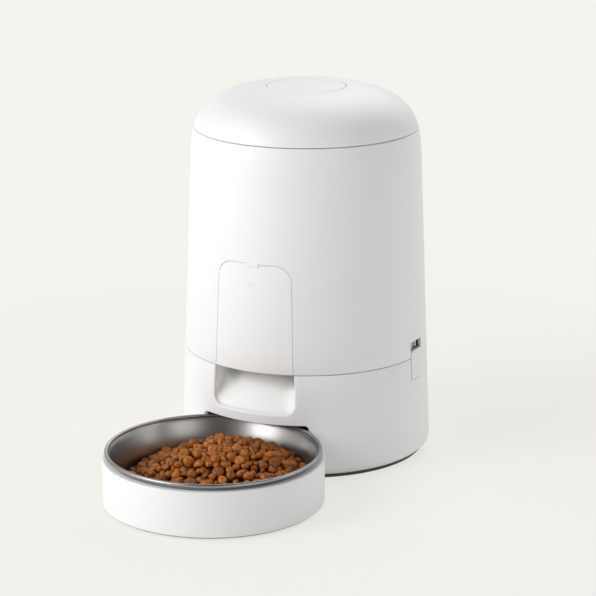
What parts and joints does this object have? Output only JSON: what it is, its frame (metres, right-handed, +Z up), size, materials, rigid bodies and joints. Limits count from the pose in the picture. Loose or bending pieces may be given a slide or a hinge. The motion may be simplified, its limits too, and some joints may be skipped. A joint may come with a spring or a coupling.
{
  "type": "automatic pet feeder",
  "caption": "Round dry-food dispenser with a domed lid, a chute at the front, side latches and a steel bowl on a tray.",
  "frame": {"origin": "the body's axis at the floor, where the rubber feet stand", "axes": "+Z up along the body's axis, -Y towards the outlet and the bowl, +X to the right as seen from the front"},
  "size_m": [0.1808, 0.31, 0.265],
  "materials": {
    "body_white": "fine moulded satin finish",
    "panel_white": "smooth satin finish",
    "inner_white": "plain moulded finish",
    "tank_plastic": "smooth polished inside",
    "wheel_plastic": "plain moulded finish",
    "gear_plastic": "natural acetal",
    "base_charcoal": "fine spark-eroded texture",
    "pad_rubber": "matt",
    "agitator_silicone": "matt",
    "seal_silicone": "matt",
    "bowl_steel": "brushed round the bowl's axis",
    "screw_steel": "zinc plated",
    "pin_steel": "ground",
    "spring_steel": "drawn wire",
    "contact_plate": "nickel plated",
    "socket_metal": "nickel plated",
    "motor_steel": "zinc plated can",
    "bush_brass": "turned",
    "board_green": "solder mask",
    "battery_wrap": "plain shrink sleeve",
    "lens_diffuser": "milky diffuser"
  },
  "bodies": {
    "base": {"base_shell": "body_white", "base_pan": "base_charcoal", "foot_pads": "pad_rubber", "base_deck": "inner_white", "base_screws": "screw_steel", "battery_box": "inner_white", "batteries": "battery_wrap", "battery_contacts": "contact_plate", "rear_panel": "inner_white", "power_socket": "socket_metal", "main_board": "board_green", "food_chute": "tank_plastic", "front_panel": "panel_white", "indicator_lens": "lens_diffuser", "indicator_board": "board_green", "tower_housing": "inner_white", "tower_cap": "inner_white", "gear_plate": "inner_white", "motor": "motor_steel", "transfer_axle": "pin_steel", "output_bush": "bush_brass", "latch_pins": "pin_steel"},
    "battery_door": {"battery_door": "base_charcoal"},
    "feed_button": {"feed_button": "body_white"},
    "latch_right": {"latch_right": "body_white"},
    "latch_left": {"latch_left": "body_white"},
    "tank": {"tank_shell": "body_white", "food_tank": "tank_plastic", "catch_plates": "base_charcoal", "tank_screws": "screw_steel", "drop_guard": "tank_plastic"},
    "wheel": {"portion_wheel": "wheel_plastic", "agitator": "agitator_silicone", "wheel_knob": "wheel_plastic"},
    "output_gear": {"output_gear": "gear_plastic"},
    "transfer_gear": {"transfer_gear": "gear_plastic"},
    "motor_pinion": {"motor_pinion": "bush_brass"},
    "lid": {"lid_shell": "body_white", "lid_cup": "inner_white", "lid_seal": "seal_silicone", "desiccant_box": "inner_white"},
    "lid_button": {"lid_button": "body_white", "button_spring": "spring_steel"},
    "bolt_right": {"lid_bolt_right": "gear_plastic"},
    "bolt_left": {"lid_bolt_left": "gear_plastic"},
    "desiccant_cover": {"desiccant_cover": "inner_white"},
    "tray": {"bowl_tray": "body_white", "tray_pads": "pad_rubber", "tray_clip": "base_charcoal"},
    "bowl": {"food_bowl": "bowl_steel"}
  },
  "joints": [
    {"name": "battery_door_hinge", "type": "hinge", "parent": "base", "child": "battery_door", "pos_m": [0, -0.0325, 0.0018], "axis": [-1, 0, 0], "range_deg": [0, 75]},
    {"name": "feed_press", "type": "slide", "parent": "base", "child": "feed_button", "axis": [0, -1, 0], "range_m": [0, 0.001], "stiffness_N_per_m": 900, "springref_m": -0.001},
    {"name": "latch_right_hinge", "type": "hinge", "parent": "base", "child": "latch_right", "pos_m": [0.08615, 0, 0.0625], "axis": [0, 1, 0], "range_deg": [0, 18], "stiffness_Nm_per_rad": 0.4, "springref_deg": -5.73},
    {"name": "latch_left_hinge", "type": "hinge", "parent": "base", "child": "latch_left", "pos_m": [-0.08615, 0, 0.0625], "axis": [0, -1, 0], "range_deg": [0, 18], "stiffness_Nm_per_rad": 0.4, "springref_deg": -5.73},
    {"name": "tank_lift", "type": "slide", "parent": "base", "child": "tank", "axis": [0, 0, 1], "range_m": [0, 0.09]},
    {"name": "wheel_spin", "type": "hinge", "parent": "tank", "child": "wheel", "pos_m": [0, 0, 0.15], "axis": [0, 0, 1], "continuous": true},
    {"name": "output_spin", "type": "hinge", "parent": "base", "child": "output_gear", "pos_m": [0, 0, 0.13], "axis": [0, 0, 1], "continuous": true},
    {"name": "transfer_spin", "type": "hinge", "parent": "base", "child": "transfer_gear", "pos_m": [0.02379, 0.01996, 0.13], "axis": [0, 0, 1], "continuous": true},
    {"name": "pinion_spin", "type": "hinge", "parent": "base", "child": "motor_pinion", "pos_m": [0.00569, 0.02655, 0.13], "axis": [0, 0, 1], "continuous": true},
    {"name": "lid_lift", "type": "slide", "parent": "tank", "child": "lid", "axis": [0, 0, 1], "range_m": [0, 0.06]},
    {"name": "lid_press", "type": "slide", "parent": "lid", "child": "lid_button", "axis": [0, 0, -1], "range_m": [0, 0.003], "stiffness_N_per_m": 900, "springref_m": -0.004, "deforming": ["button_spring"]},
    {"name": "bolt_right_slide", "type": "slide", "parent": "lid", "child": "bolt_right", "axis": [-1, 0, 0], "range_m": [0, 0.003]},
    {"name": "bolt_left_slide", "type": "slide", "parent": "lid", "child": "bolt_left", "axis": [1, 0, 0], "range_m": [0, 0.003]},
    {"name": "desiccant_twist", "type": "hinge", "parent": "lid", "child": "desiccant_cover", "pos_m": [0, 0, 0.214], "axis": [0, 0, 1], "range_deg": [0, 30]},
    {"name": "tray_pull", "type": "slide", "parent": "base", "child": "tray", "axis": [0, -1, 0], "range_m": [0, 0.06]},
    {"name": "bowl_lift", "type": "slide", "parent": "tray", "child": "bowl", "axis": [0, 0, 1], "range_m": [0, 0.0018]}
  ],
  "couplings": [
    {"joint": "output_spin", "follows": "wheel_spin", "ratio": 1},
    {"joint": "transfer_spin", "follows": "wheel_spin", "ratio": -3.4286},
    {"joint": "pinion_spin", "follows": "wheel_spin", "ratio": 10.286},
    {"joint": "bolt_right_slide", "follows": "lid_press", "ratio": 1},
    {"joint": "bolt_left_slide", "follows": "lid_press", "ratio": 1}
  ]
}
